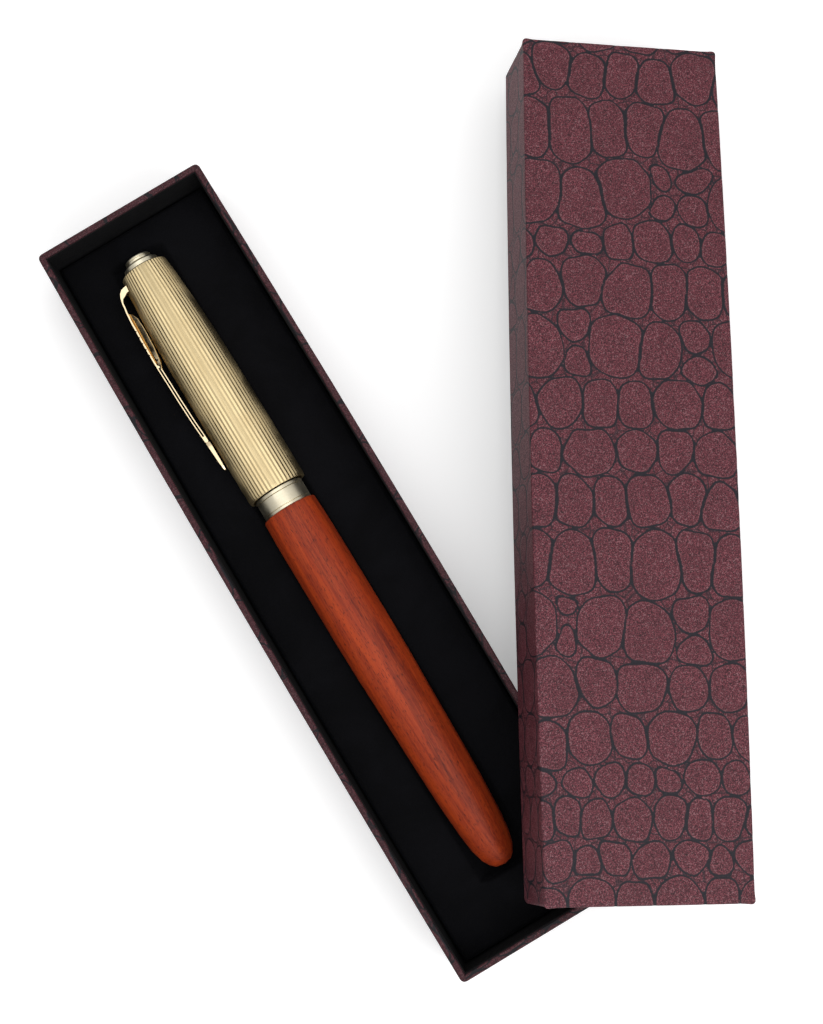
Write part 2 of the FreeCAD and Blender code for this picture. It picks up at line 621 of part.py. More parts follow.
# -------------------------------------------------------------- write all
def main():
    os.makedirs("parts", exist_ok=True)
    parts = {}
    board, stays, cover, liner, lined_wall, floor_z = box_half(TRAY_W, TRAY_L, TRAY_H, TRAY_BOARD_T)
    parts["tray_board"] = board
    parts["tray_corner_stays"] = stays
    parts["tray_wrap"] = cover
    parts["tray_liner"] = liner
    parts["bed_foam"], parts["bed_velvet"] = bed(lined_wall, floor_z)
    board, stays, cover, liner, _, _ = box_half(LID_W, LID_L, LID_H, LID_BOARD_T)
    parts["lid_board"] = lid_place(board)
    parts["lid_corner_stays"] = lid_place(stays)
    parts["lid_wrap"] = lid_place(cover)
    parts["lid_liner"] = lid_place(liner)
    pen = {
        "cap_shell": cap_shell, "cap_liner": cap_liner, "finial_ring": finial_ring,
        "finial_screw": finial_screw, "clip": clip, "grip_section": grip_section,
        "coupling_ring": coupling_ring, "feed": feed, "nib": nib, "nib_point": nib_point,
        "converter_tube": converter_tube, "converter_collar": converter_collar,
        "converter_guide": converter_guide, "converter_knob": converter_knob,
        "piston_rod": piston_rod, "piston_seal": piston_seal,
        "barrel_wood": barrel_wood, "barrel_sleeve": barrel_sleeve,
    }
    for name, make in pen.items():
        parts[name] = pen_place(make())
    for name, shape in parts.items():
        kinds = len(shape.Solids)
        valid = shape.isValid()
        print("%-18s solids %d valid %s volume %.2f mm3" % (name, kinds, valid, shape.Volume))
        shape.exportStep("parts/%s.step" % name)


main()
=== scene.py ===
import json
import math

import bpy
import numpy as np
from mathutils import Matrix, Vector


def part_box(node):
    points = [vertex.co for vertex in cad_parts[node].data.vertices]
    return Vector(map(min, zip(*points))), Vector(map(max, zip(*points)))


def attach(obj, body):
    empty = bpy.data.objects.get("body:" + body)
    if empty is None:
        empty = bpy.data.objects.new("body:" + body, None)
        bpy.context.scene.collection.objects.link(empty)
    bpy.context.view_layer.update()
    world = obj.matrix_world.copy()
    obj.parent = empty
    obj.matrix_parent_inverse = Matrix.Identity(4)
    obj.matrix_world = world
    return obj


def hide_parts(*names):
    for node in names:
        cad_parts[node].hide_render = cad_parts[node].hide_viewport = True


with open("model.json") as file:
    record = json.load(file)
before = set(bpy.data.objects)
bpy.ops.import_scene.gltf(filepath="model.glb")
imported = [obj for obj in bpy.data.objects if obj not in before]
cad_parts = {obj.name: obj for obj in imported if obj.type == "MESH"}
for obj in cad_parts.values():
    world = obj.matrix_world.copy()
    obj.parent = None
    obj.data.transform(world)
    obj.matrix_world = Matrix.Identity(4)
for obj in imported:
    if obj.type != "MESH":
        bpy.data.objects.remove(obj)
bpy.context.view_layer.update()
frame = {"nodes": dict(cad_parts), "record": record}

MM = 0.001

# -------------------------------------------------- sizes, mm, and angles, degrees
TRAY = {"width": 37.2, "length": 165.2, "height": 18.8, "wall": 1.15}
LID = {"width": 39.8, "length": 167.8, "height": 15.8, "wall": 1.05}
BOW = 0.6                # the long walls bow out this far at mid length
CORNER_R = 1.0           # upright corners
EDGE_R = 0.35            # edge of the closed side
RIM_R = 0.3              # outer edge of the rim
TURN_IN_R = 0.25         # inner edge of the rim
WRAP_T = 0.15            # paper
TURN_IN_END = 2.6        # the turned-in paper ends this far above the closed side
CORNER_FOLD = 0.28       # swelling of the folded paper at the closed corners
CORNER_FOLD_R = 1.3
LID_TURN = (-31.09, 11.521, -4.995)
LID_AT = (58.003, -12.987, 11.105)
PEN_AT = (-1.224, 18.0, 12.3)
PEN_YAW = 0.62


# ------------------------------------------------------------- node materials
class Nodes:
    """Small helper that builds one node material."""

    def __init__(self, name):
        self.material = bpy.data.materials.new(name)
        self.material.use_nodes = True
        self.tree = self.material.node_tree
        self.bsdf = self.tree.nodes["Principled BSDF"]
        self.coords = self.tree.nodes.new("ShaderNodeTexCoord").outputs["Object"]

    def link(self, value, socket):
        """Another node's output, a colour or a plain value into a socket."""
        if isinstance(value, bpy.types.NodeSocket):
            self.tree.links.new(value, socket)
        elif isinstance(value, (tuple, list)) and len(value) == 3 and socket.type == "RGBA":
            socket.default_value = (*value, 1.0)
        else:
            socket.default_value = value

    def set(self, **inputs):
        for key, value in inputs.items():
            self.link(value, self.bsdf.inputs[key.replace("_", " ")])

    def scaled(self, x, y, z):
        """Object coordinates with each axis scaled."""
        node = self.tree.nodes.new("ShaderNodeMapping")
        node.inputs["Scale"].default_value = (x, y, z)
        self.link(self.coords, node.inputs["Vector"])
        return node.outputs["Vector"]

    def noise(self, scale, detail=2.0, rough=0.5, vector=None, distortion=0.0):
        node = self.tree.nodes.new("ShaderNodeTexNoise")
        node.inputs["Scale"].default_value = scale
        node.inputs["Detail"].default_value = detail
        node.inputs["Roughness"].default_value = rough
        node.inputs["Distortion"].default_value = distortion
        self.link(vector or self.coords, node.inputs["Vector"])
        return node.outputs["Fac"]

    def voronoi(self, scale, feature="F1"):
        node = self.tree.nodes.new("ShaderNodeTexVoronoi")
        node.feature = feature
        node.inputs["Scale"].default_value = scale
        self.link(self.coords, node.inputs["Vector"])
        return node.outputs

    def math(self, operation, a, b=0.0, clamp=False):
        node = self.tree.nodes.new("ShaderNodeMath")
        node.operation = operation
        node.use_clamp = clamp
        self.link(a, node.inputs[0])
        self.link(b, node.inputs[1])
        return node.outputs[0]

    def step(self, value, low, high, out_low=0.0, out_high=1.0):
        """Smooth step from out_low at low to out_high at high."""
        node = self.tree.nodes.new("ShaderNodeMapRange")
        node.interpolation_type = "SMOOTHSTEP"
        self.link(value, node.inputs["Value"])
        node.inputs["From Min"].default_value = low
        node.inputs["From Max"].default_value = high
        node.inputs["To Min"].default_value = out_low
        node.inputs["To Max"].default_value = out_high
        return node.outputs["Result"]

    def mix(self, factor, a, b):
        node = self.tree.nodes.new("ShaderNodeMix")
        node.data_type = "RGBA"
        self.link(factor, node.inputs[0])
        self.link(a, node.inputs[6])
        self.link(b, node.inputs[7])
        return node.outputs[2]

    def ramp(self, factor, *stops):
        node = self.tree.nodes.new("ShaderNodeValToRGB")
        elements = node.color_ramp.elements
        while len(elements) < len(stops):
            elements.new(0.5)
        for element, (place, colour) in zip(elements, stops):
            element.position = place
            element.color = (*colour, 1.0)
        self.link(factor, node.inputs["Fac"])
        return node.outputs["Color"]

    def red(self, colour):
        node = self.tree.nodes.new("ShaderNodeSeparateColor")
        self.link(colour, node.inputs["Color"])
        return node.outputs["Red"]

    def attribute(self, name):
        node = self.tree.nodes.new("ShaderNodeAttribute")
        node.attribute_name = name
        return node.outputs["Fac"]

    def bump(self, height, strength, distance):
        node = self.tree.nodes.new("ShaderNodeBump")
        node.inputs["Strength"].default_value = strength
        node.inputs["Distance"].default_value = distance
        self.link(height, node.inputs["Height"])
        self.link(node.outputs["Normal"], self.bsdf.inputs["Normal"])


def crocodile_paper(name, shade):
    """Printed paper: wine-coloured scales with fine grain and charcoal outlines, and a painted
    highlight along the inner edge of each scale. shade scales every colour down; below 1 it paints a
    darker copy of the same paper, a painted shade.
    """
    n = Nodes(name)

    # Every colour is scaled by shade; the tray's copy uses 0.47 of it as painted shade.
    def tone(red, green, blue):
        return (red * shade, green * shade, blue * shade)

    wobble = n.math("SUBTRACT", n.noise(700.0, 2.0, 0.55), 0.5)
    fine = n.math("SUBTRACT", n.noise(3000.0, 1.0, 0.5), 0.5)
    shift = n.math("ADD", n.math("MULTIPLY", wobble, 0.22), n.math("MULTIPLY", fine, 0.16))
    d = n.math("ADD", n.attribute("cell_d"), shift)
    inside = n.step(d, 0.19, 0.34)
    beyond = n.step(d, -0.13, -0.28)
    vein = n.step(n.voronoi(380.0, "DISTANCE_TO_EDGE")["Distance"], 0.02, 0.07, 0.35, 1.0)
    fill = n.math("ADD", inside, n.math("MULTIPLY", beyond, vein), clamp=True)
    grain = n.noise(5200.0, 1.5, 0.65)
    cloud = n.noise(160.0, 3.0, 0.5)
    wine = n.ramp(grain, (0.30, tone(0.022, 0.004, 0.007)), (0.50, tone(0.096, 0.021, 0.031)),
                  (0.68, tone(0.252, 0.070, 0.087)))
    flakes = n.red(n.voronoi(5600.0)["Color"])
    glint = n.step(flakes, 0.84, 0.97)
    wine = n.mix(n.math("MULTIPLY", glint, 0.55), wine, tone(0.30, 0.165, 0.180))
    ash = n.step(flakes, 0.20, 0.08)
    wine = n.mix(n.math("MULTIPLY", ash, 0.85), wine, tone(0.020, 0.010, 0.012))
    wine = n.mix(n.step(cloud, 0.3, 0.7, 0.0, 0.2), wine, tone(0.045, 0.012, 0.016))
    # Painted highlight: a paler band just inside each scale's outline stands in for light caught by the
    # raised edge of the scale.
    painted_lip_highlight = n.math("MULTIPLY", n.step(d, 0.28, 0.38), n.step(d, 0.72, 0.46))
    wine = n.mix(n.math("MULTIPLY", painted_lip_highlight, 0.20), wine, tone(0.20, 0.075, 0.085))
    charcoal = n.mix(n.noise(2600.0, 2.0), tone(0.005, 0.005, 0.008), tone(0.022, 0.019, 0.026))
    colour = n.mix(fill, charcoal, wine)
    relief = n.math("ADD", n.math("MULTIPLY", fill, 0.7), n.math("MULTIPLY", grain, 0.5))
    n.bump(relief, 0.5, 0.00006)
    n.set(Base_Color=colour, Roughness=n.step(grain, 0.3, 0.7, 0.60, 0.46))
    n.bsdf.inputs["Specular IOR Level"].default_value = 0.22
    return n.material


def black_paper():
    """Matt black lining paper."""
    n = Nodes("black_paper")
    fibre = n.noise(1400.0, 4.0, 0.6, n.scaled(1.0, 0.35, 1.0))
    colour = n.mix(fibre, (0.0030, 0.0030, 0.0034), (0.0090, 0.0090, 0.0100))
    n.bump(fibre, 0.35, 0.00005)
    n.set(Base_Color=colour, Roughness=n.step(fibre, 0.3, 0.7, 0.6, 0.8))
    n.bsdf.inputs["Specular IOR Level"].default_value = 0.2
    return n.material


def flock():
    """Short black pile with a faint cool bloom."""
    n = Nodes("black_flock")
    pile = n.noise(5200.0, 2.0, 0.7)
    lie = n.noise(70.0, 3.0, 0.6, distortion=0.6)
    colour = n.mix(pile, (0.0010, 0.0010, 0.0014), (0.0045, 0.0045, 0.0055))
    colour = n.mix(n.step(lie, 0.35, 0.65, 0.0, 0.5), colour, (0.005, 0.005, 0.0065))
    n.bump(pile, 0.8, 0.00012)
    n.set(Base_Color=colour, Roughness=0.95)
    n.bsdf.inputs["Specular IOR Level"].default_value = 0.08
    n.bsdf.inputs["Sheen Weight"].default_value = 0.02
    n.bsdf.inputs["Sheen Roughness"].default_value = 0.45
    n.bsdf.inputs["Sheen Tint"].default_value = (0.55, 0.58, 0.75, 1.0)
    return n.material


def metal(name, light, dark, rough, brushed=(1.0, 0.06, 1.0)):
    """Plated metal with fine brushing, slight tarnish and smudges."""
    n = Nodes(name)
    brush = n.noise(2600.0, 2.0, 0.6, n.scaled(*brushed))
    smudge = n.noise(140.0, 3.0, 0.55)
    colour = n.mix(brush, dark, light)
    n.bump(brush, 0.12, 0.00002)
    wear = n.step(smudge, 0.35, 0.75, rough * 0.8, rough * 1.35)
    n.set(Base_Color=colour, Metallic=1.0, Roughness=wear)
    return n.material


def wood():
    """Lacquered red-orange hardwood with fine dark pores along the barrel."""
    n = Nodes("red_wood")
    bands = n.noise(420.0, 4.0, 0.6, n.scaled(1.0, 0.03, 1.0), 0.8)
    fine = n.noise(3000.0, 3.0, 0.65, n.scaled(1.0, 0.045, 1.0))
    colour = n.ramp(bands, (0.30, (0.125, 0.011, 0.003)), (0.48, (0.245, 0.025, 0.006)),
                    (0.66, (0.385, 0.044, 0.008)))
    colour = n.mix(n.step(fine, 0.35, 0.7, 0.0, 0.42), colour, (0.46, 0.066, 0.012))
    pores = n.noise(7200.0, 1.5, 0.5, n.scaled(1.0, 0.13, 1.0))
    pore = n.step(pores, 0.57, 0.70)
    colour = n.mix(n.math("MULTIPLY", pore, 0.72), colour, (0.040, 0.006, 0.004))
    n.bump(n.math("SUBTRACT", 1.0, pore), 0.15, 0.00003)
    n.set(Base_Color=colour, Roughness=n.step(fine, 0.3, 0.7, 0.50, 0.42))
    n.bsdf.inputs["Specular IOR Level"].default_value = 0.20
    n.bsdf.inputs["Coat Weight"].default_value = 0.08
    n.bsdf.inputs["Coat Roughness"].default_value = 0.35
    return n.material


def plastic(name, low, high, rough, alpha=1.0):
    """Plain material with a faint uneven tone."""
    n = Nodes(name)
    mould = n.noise(900.0, 3.0, 0.6)
    n.bump(mould, 0.06, 0.00003)
    n.set(Base_Color=n.mix(mould, low, high), Roughness=n.step(mould, 0.3, 0.7, rough, rough * 1.4))
    n.bsdf.inputs["Alpha"].default_value = alpha
    return n.material


def board():
    """Grey cardboard with dark flecks."""
    n = Nodes("greyboard")
    fibre = n.noise(700.0, 5.0, 0.7)
    fleck = n.step(n.noise(1900.0, 1.0, 0.5), 0.62, 0.7)
    colour = n.mix(fibre, (0.22, 0.20, 0.17), (0.33, 0.30, 0.26))
    colour = n.mix(n.math("MULTIPLY", fleck, 0.6), colour, (0.08, 0.07, 0.07))
    n.bump(fibre, 0.4, 0.00008)
    n.set(Base_Color=colour, Roughness=0.9)
    return n.material


def foam():
    """Black open-cell foam."""
    n = Nodes("bed_foam")
    cells = n.voronoi(1500.0)["Distance"]
    n.bump(cells, 0.7, 0.0002)
    n.set(Base_Color=n.mix(cells, (0.004, 0.004, 0.005), (0.02, 0.02, 0.022)), Roughness=0.95)
    return n.material


MATERIALS = {
    "crocodile_paper": crocodile_paper("crocodile_paper", 1.0),
    # The tray's copy of the same paper, painted darker at 0.47 of the lid's colour: painted shade.
    "crocodile_paper_tray_painted_shade": crocodile_paper("crocodile_paper_tray_painted_shade", 0.47),
    "black_paper": black_paper(),
    "black_flock": flock(),
    "greyboard": board(),
    "stay_paper": plastic("stay_paper", (0.30, 0.20, 0.11), (0.42, 0.30, 0.18), 0.8),
    "bed_foam": foam(),
    "pale_gold": metal("pale_gold", (0.84, 0.69, 0.41), (0.74, 0.57, 0.30), 0.38),
    "clip_gold": metal("clip_gold", (0.88, 0.74, 0.49), (0.80, 0.62, 0.38), 0.20),
    "champagne": metal("champagne", (0.82, 0.76, 0.60), (0.74, 0.66, 0.48), 0.37,
                       (0.2, 1.0, 0.2)),
    "black_plastic": plastic("black_plastic", (0.004, 0.004, 0.004), (0.009, 0.009, 0.009), 0.16),
    "gold_steel": metal("gold_steel", (0.86, 0.64, 0.28), (0.78, 0.54, 0.21), 0.12),
    "hard_alloy": metal("hard_alloy", (0.72, 0.72, 0.70), (0.6, 0.6, 0.58), 0.1),
    "clear_plastic": plastic("clear_plastic", (0.80, 0.84, 0.86), (0.88, 0.91, 0.92), 0.05, 0.35),
    "bright_metal": metal("bright_metal", (0.78, 0.78, 0.78), (0.68, 0.68, 0.67), 0.12),
    "seal_rubber": plastic("seal_rubber", (0.008, 0.008, 0.008), (0.02, 0.02, 0.02), 0.6),
    "red_wood": wood(),
    "sleeve_brass": metal("sleeve_brass", (0.78, 0.56, 0.22), (0.66, 0.45, 0.16), 0.3),
}
SLOT_OF = {s["node"]: s["material_slot"] for s in frame["record"]["subparts"]}


# -------------------------------------------------------- crocodile pattern
# Ranges in mm on the flat paper, and shares of all rows or scales.
SMALL_ROWS = 0.14
SMALL_SCALE = {"tall": (5.8, 7.8), "wide": (4.8, 7.8)}
LARGE_SCALE = {"tall": (8.4, 13.4), "wide": (6.4, 9.8)}
ROW_SLOPE = 0.05
SPLIT_FROM = 10.8        # rows taller than this have some scales split in two
SPLIT_SCALES = 0.20
ROUNDING = 0.38          # corner radius of a scale, as a share of its smaller side
MOST_ROUNDING = 3.0
WAVES = 14
WAVE_HEIGHT = 0.10
NEIGHBOURS = 9
CHUNK = 8000             # points worked on at once


def scale_seeds(seed, half_u, half_v):
    """Seeds (u, v, weight, rounding) of the scales: staggered rows, some split in two."""
    rng = np.random.default_rng(seed)
    seeds = []
    v = -half_v
    while v < half_v:
        size = SMALL_SCALE if rng.random() < SMALL_ROWS else LARGE_SCALE
        tall = rng.uniform(*size["tall"])
        slope = rng.uniform(-ROW_SLOPE, ROW_SLOPE)
        u = -half_u - rng.uniform(0.0, 8.0)
        while u < half_u:
            wide = rng.uniform(*size["wide"])
            middle = v + tall / 2 + slope * (u + half_u * 0.2) + rng.normal(0.0, 0.75)
            pieces = [(0.5, 1.0)]
            if tall > SPLIT_FROM and rng.random() < SPLIT_SCALES:
                share = rng.uniform(0.42, 0.58)
                pieces = [(share / 2, share), ((1 + share) / 2, 1 - share)]
            for place, part in pieces:
                high = tall * part
                rounding = min(MOST_ROUNDING, ROUNDING * min(wide, high))
                seeds.append((u + wide / 2 + rng.normal(0.0, 0.3), middle + (place - 0.5) * tall,
                              (wide ** 2 + high ** 2) / 4, rounding))
            u += wide
        v += tall
    return np.array(seeds)


def wavy(points, seed):
    """Hand-drawn waviness of the outlines, mm."""
    rng = np.random.default_rng(seed + 100)
    shift = np.zeros_like(points)
    for _ in range(WAVES):
        wave = rng.uniform(0.35, 1.3)
        angle = rng.uniform(0, 2 * math.pi)
        turn = rng.uniform(0, 2 * math.pi)
        phase = rng.uniform(0, 2 * math.pi)
        across = points[:, 0] * math.cos(angle) + points[:, 1] * math.sin(angle)
        swing = WAVE_HEIGHT * np.sin(across * wave + phase)
        shift += swing[:, None] * np.array([math.cos(turn), math.sin(turn)])
    return points + shift


def cell_distance(points, seeds):
    """Distance inside each rounded scale (positive) or out into the gaps (negative), mm."""
    centre, weight, rounding = seeds[:, :2], seeds[:, 2], seeds[:, 3]
    out = np.empty(len(points))
    for start in range(0, len(points), CHUNK):
        q = points[start:start + CHUNK]
        power = ((q[:, None, :] - centre[None, :, :]) ** 2).sum(2) - weight
        order = np.argpartition(power, NEIGHBOURS, axis=1)[:, :NEIGHBOURS]
        rows = np.arange(len(q))[:, None]
        order = order[rows, np.argsort(power[rows, order], axis=1)]
        own = order[:, 0]
        other = order[:, 1:]
        apart = np.linalg.norm(centre[other] - centre[own][:, None, :], axis=2)
        border = (power[rows, other] - power[rows[:, 0], own][:, None]) / (2 * apart)
        r = rounding[own]
        over = np.clip(r[:, None] - border, 0.0, None)
        out[start:start + CHUNK] = r - np.sqrt((over ** 2).sum(1))
    return out


# ------------------------------------------------------------- paper covers
LEAST_R = 0.06           # corner radius that any inset keeps
ARC_STEPS = 4
WALL_STEP = 0.45         # height of one mesh row of a wall
TURN_IN_SHOWN = 1.2      # depth below the rim to which the inner edge is modelled finely
UNEVEN = 0.05            # slow unevenness of the glued paper
OUTLINE_SHIFT = 0.06     # outlines are printed this far into each scale
SCALE_RELIEF = 0.05
GAP_RELIEF = 0.03
PATTERN_SPARE = 12       # pattern laid out past the height of the walls
HIDDEN_ROWS = 5          # last rows of the section, left without relief
RIM_ZONE = 0.28          # depth below the rim in which the relief points up
OUTSIDE = 0.2            # smaller insets belong to the outer face
DIAGONAL = 0.7           # share of the relief that goes each way round the lower edge


def outline(width, length, inset, us, vs):
    """Boundary of the cover at one inset from its outside, and its outward normals."""
    radius = max(CORNER_R - inset, LEAST_R)
    half_u = width / 2 - inset
    half_v = length / 2 - inset
    flat_u = width / 2 - CORNER_R
    flat_v = length / 2 - CORNER_R
    points = []
    normals = []
    for u, v in ring_order(us, vs):
        over_u = max(abs(u) - flat_u, 0.0)
        over_v = max(abs(v) - flat_v, 0.0)
        su = math.copysign(1.0, u)
        sv = math.copysign(1.0, v)
        if over_u > 0 and over_v > 0:
            reach = math.hypot(over_u, over_v)
            nu = over_u / reach
            nv = over_v / reach
            x = su * (half_u - radius + radius * nu)
            y = sv * (half_v - radius + radius * nv)
            normal = (su * nu, sv * nv)
        elif over_u > 0:
            x = su * half_u
            y = v * (half_v - radius) / flat_v
            normal = (su, 0.0)
        else:
            x = u * (half_u - radius) / flat_u
            y = sv * half_v
            normal = (0.0, sv)
        share = su if over_u > 0 else u / flat_u
        x += share * BOW * (1 - (y / (length / 2)) ** 2)
        points.append((x, y))
        normals.append(normal)
    return np.array(points), np.array(normals)


def ring_order(us, vs):
    """Grid boundary coordinates, once round."""
    ring = [(u, vs[0]) for u in us[:-1]]
    ring += [(us[-1], v) for v in vs[:-1]]
    ring += [(u, vs[-1]) for u in us[:0:-1]]
    ring += [(us[0], v) for v in vs[:0:-1]]
    return ring


def lines(half, step):
    """Grid lines across one direction, with two cells in each rounded corner."""
    flat = half - CORNER_R
    count = max(int(round(2 * flat / step)), 2)
    inner = np.linspace(-flat, flat, count + 1)
    ends = [flat + CORNER_R * 0.45, flat + CORNER_R]
    return np.concatenate([[-ends[1], -ends[0]], inner, ends])


def cover_profile(height, wall):
    """Section of the cover from the edge of the closed side to the turned-in end.

    Each entry is (inset from the outside, height, distance along the paper). The last distances only
    have to keep growing, because little of that paper is seen.
    """
    rows = []
    for i in range(1, ARC_STEPS + 1):
        a = i / ARC_STEPS * math.pi / 2
        rows.append((EDGE_R - EDGE_R * math.sin(a), EDGE_R - EDGE_R * math.cos(a), EDGE_R * a))
    base = EDGE_R * math.pi / 2
    rise = height - EDGE_R - RIM_R
    count = int(round(rise / WALL_STEP))
    for i in range(1, count + 1):
        h = rise * i / count
        rows.append((0.0, EDGE_R + h, base + h))
    base += rise
    for i in range(1, ARC_STEPS + 1):
        a = i / ARC_STEPS * math.pi / 2
        rows.append((RIM_R - RIM_R * math.cos(a), height - RIM_R + RIM_R * math.sin(a),
                     base + RIM_R * a))
    base += RIM_R * math.pi / 2
    inner = wall + WRAP_T
    rows.append((inner / 2, height, base + inner / 2 - RIM_R))
    for i in range(ARC_STEPS + 1):
        a = i / ARC_STEPS * math.pi / 2
        rows.append((inner - TURN_IN_R + TURN_IN_R * math.sin(a),
                     height - TURN_IN_R + TURN_IN_R * math.cos(a), base + inner - RIM_R))
    rows.append((inner, height - TURN_IN_SHOWN, base + 2.4))
    rows.append((inner, TURN_IN_END, base + 14.0))
    rows.append((wall, TURN_IN_END, base + 14.2))
    rows.append((wall, height - WRAP_T, base + 30.0))
    rows.append((WRAP_T, height - WRAP_T, base + 31.0))
    rows.append((WRAP_T, WRAP_T, base + 45.0))
    return rows


def lumps(points, seed):
    """Slow unevenness of glued paper, mm."""
    rng = np.random.default_rng(seed)
    total = np.zeros(len(points))
    for _ in range(WAVES):
        wave = rng.uniform(0.08, 0.5)
        angle = rng.uniform(0, 2 * math.pi)
        phase = rng.uniform(0, 2 * math.pi)
        across = points[:, 0] * math.cos(angle) + points[:, 1] * math.sin(angle)
        total += np.sin(across * wave + phase)
    return total / WAVES * UNEVEN


def folded_corners(verts, box):
    """Sideways swelling where the paper is folded over itself at the closed corners, mm."""
    from_side = box["width"] / 2 - np.abs(verts[:, 0])
    from_end = box["length"] / 2 - np.abs(verts[:, 1])
    near = np.exp(-(from_side ** 2 + from_end ** 2) / CORNER_FOLD_R ** 2)
    low = np.clip(1 - verts[:, 2] / (1.5 * CORNER_FOLD_R), 0, 1)
    return np.sign(verts[:, :2]) * (CORNER_FOLD * near * low)[:, None]


def closed_side(box, us, vs, rim):
    """Points and faces of the closed side, border points first, and the border's point numbers."""
    width, length = box["width"], box["length"]
    ring = ring_order(us, vs)
    number = {key: k for k, key in enumerate(ring)}
    points = [(x, y) for x, y in rim]
    scale_u = (width / 2 - EDGE_R) / (width / 2)
    scale_v = (length / 2 - EDGE_R) / (length / 2)
    for u in us[1:-1]:
        for v in vs[1:-1]:
            number[(u, v)] = len(points)
            y = v * scale_v
            x = u * scale_u
            x += (u / (width / 2)) * BOW * (1 - (y / (length / 2)) ** 2)
            points.append((x, y))
    faces = []
    for i in range(len(us) - 1):
        for j in range(len(vs) - 1):
            faces.append((number[(us[i], vs[j])], number[(us[i], vs[j + 1])],
                          number[(us[i + 1], vs[j + 1])], number[(us[i + 1], vs[j])]))
    return points, faces, [number[key] for key in ring]


def relief_direction(rows, height, outward, flat_count, total):
    """Direction in which the relief moves each point, row by row."""
    direction = np.zeros((total, 3))
    direction[:flat_count] = (0, 0, -1)
    count = len(outward)
    for r, (inset, h, _) in enumerate(rows):
        row = slice(flat_count + r * count, flat_count + (r + 1) * count)
        if h < EDGE_R:
            direction[row, :2] = outward * DIAGONAL
            direction[row, 2] = -DIAGONAL
        elif h > height - RIM_ZONE:
            direction[row, 2] = 1.0 if inset > OUTSIDE else 0.5
        elif inset < OUTSIDE:
            direction[row, :2] = outward
    return direction


def cover(name, box, seed, placement, step, paper_look):
    """Closed mesh of one half's printed cover with its scale pattern."""
    width, length, height = box["width"], box["length"], box["height"]
    us = lines(width / 2, step)
    vs = lines(length / 2, step)
    rim, _ = outline(width, length, EDGE_R, us, vs)
    _, outward = outline(width, length, 0.0, us, vs)
    paper, faces, previous = closed_side(box, us, vs, rim)
    flat_count = len(paper)
    verts = [(x, y, 0.0) for x, y in paper]
    count = len(rim)
    rows = cover_profile(height, box["wall"])
    for inset, h, along in rows:
        points, _ = outline(width, length, inset, us, vs)
        start = len(verts)
        for k in range(count):
            verts.append((points[k][0], points[k][1], h))
            paper.append((rim[k][0] + outward[k][0] * along, rim[k][1] + outward[k][1] * along))
        current = list(range(start, start + count))
        for k in range(count):
            nxt = (k + 1) % count
            faces.append((previous[k], previous[nxt], current[nxt], current[k]))
        previous = current
    faces.append(tuple(previous))
    verts = np.array(verts)
    paper = np.array(paper)
    seeds = scale_seeds(seed, width / 2 + height + PATTERN_SPARE, length / 2 + height + PATTERN_SPARE)
    d = cell_distance(wavy(paper, seed), seeds) - OUTLINE_SHIFT
    # Each scale rises over 0.6 mm from its outline, and the middle of a wide gap rises a little.
    relief = SCALE_RELIEF * np.clip(d / 0.6, 0, 1) + GAP_RELIEF * np.clip((-0.15 - d) / 0.3, 0, 1)
    shown = np.ones(len(verts), bool)
    shown[len(verts) - HIDDEN_ROWS * count:] = False
    lift = (relief - SCALE_RELIEF + lumps(paper, seed)) * shown
    direction = relief_direction(rows, height, outward, flat_count, len(verts))
    verts = verts + direction * np.minimum(lift, 0.0)[:, None]
    verts[:, :2] += folded_corners(verts, box) * shown[:, None]
    mesh = bpy.data.meshes.new(name)
    mesh.from_pydata([placement @ Vector(v * MM) for v in verts], [], faces)
    attribute = mesh.attributes.new("cell_d", "FLOAT", "POINT")
    attribute.data.foreach_set("value", d.astype(np.float32))
    mesh.update()
    return add(name, mesh, paper_look)


def add(name, mesh, look):
    """Smooth object from a mesh and its look."""
    obj = bpy.data.objects.new(name, mesh)
    bpy.context.scene.collection.objects.link(obj)
    mesh.materials.append(MATERIALS[look])
    mesh.polygons.foreach_set("use_smooth", [True] * len(mesh.polygons))
    return obj


def pose(turn, at):
    """Placement from yaw, pitch and roll in degrees and a place in mm."""
    yaw, pitch, roll = (math.radians(a) for a in turn)
    spin = Matrix.Rotation(yaw, 4, "Z") @ Matrix.Rotation(pitch, 4, "Y") @ Matrix.Rotation(roll, 4, "X")
    return Matrix.Translation(Vector(at) * MM) @ spin


FLIP = Matrix.Translation((0, 0, LID["height"] * MM)) @ Matrix.Rotation(math.pi, 4, "Y")
lid_cover = cover("lid_cover", LID, 11, pose(LID_TURN, LID_AT) @ FLIP, 0.45,
                  "crocodile_paper")
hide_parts("lid_wrap")
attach(lid_cover, "lid")
# The tray's cover uses the darker copy of the paper, a painted shade.
tray_cover = cover("tray_cover", TRAY, 23, Matrix.Identity(4), 0.5, "crocodile_paper_tray_painted_shade")
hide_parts("tray_wrap")
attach(tray_cover, "tray")


# ----------------------------------------------------------------- the bed
BED_TOP = 10.2
GROOVE_R = 6.34          # channel for the pen, and how far it reaches from the pen's origin
GROOVE_BACK = 87.6
GROOVE_FRONT = 57.4
GROOVE_END_START = 0.6   # the channel's ends begin to rise this far inside it
GROOVE_END_SLOPE = 6.0
GROOVE_GAP = 0.02
SHOULDER = 0.7           # softness of the channel's shoulders
EDGE_ROLL = 0.7          # rolled edge of the velvet
PILE = 0.018             # unevenness of the pile
BED_COLUMNS = 84
BED_ROWS = 340
SKIRT_HEIGHTS = (7.5, 4.5)


def smooth_min(a, b, k):
    """Smaller of two heights, blended over k."""
    h = np.clip(0.5 + 0.5 * (b - a) / k, 0, 1)
    return b * (1 - h) + a * h - k * h * (1 - h)


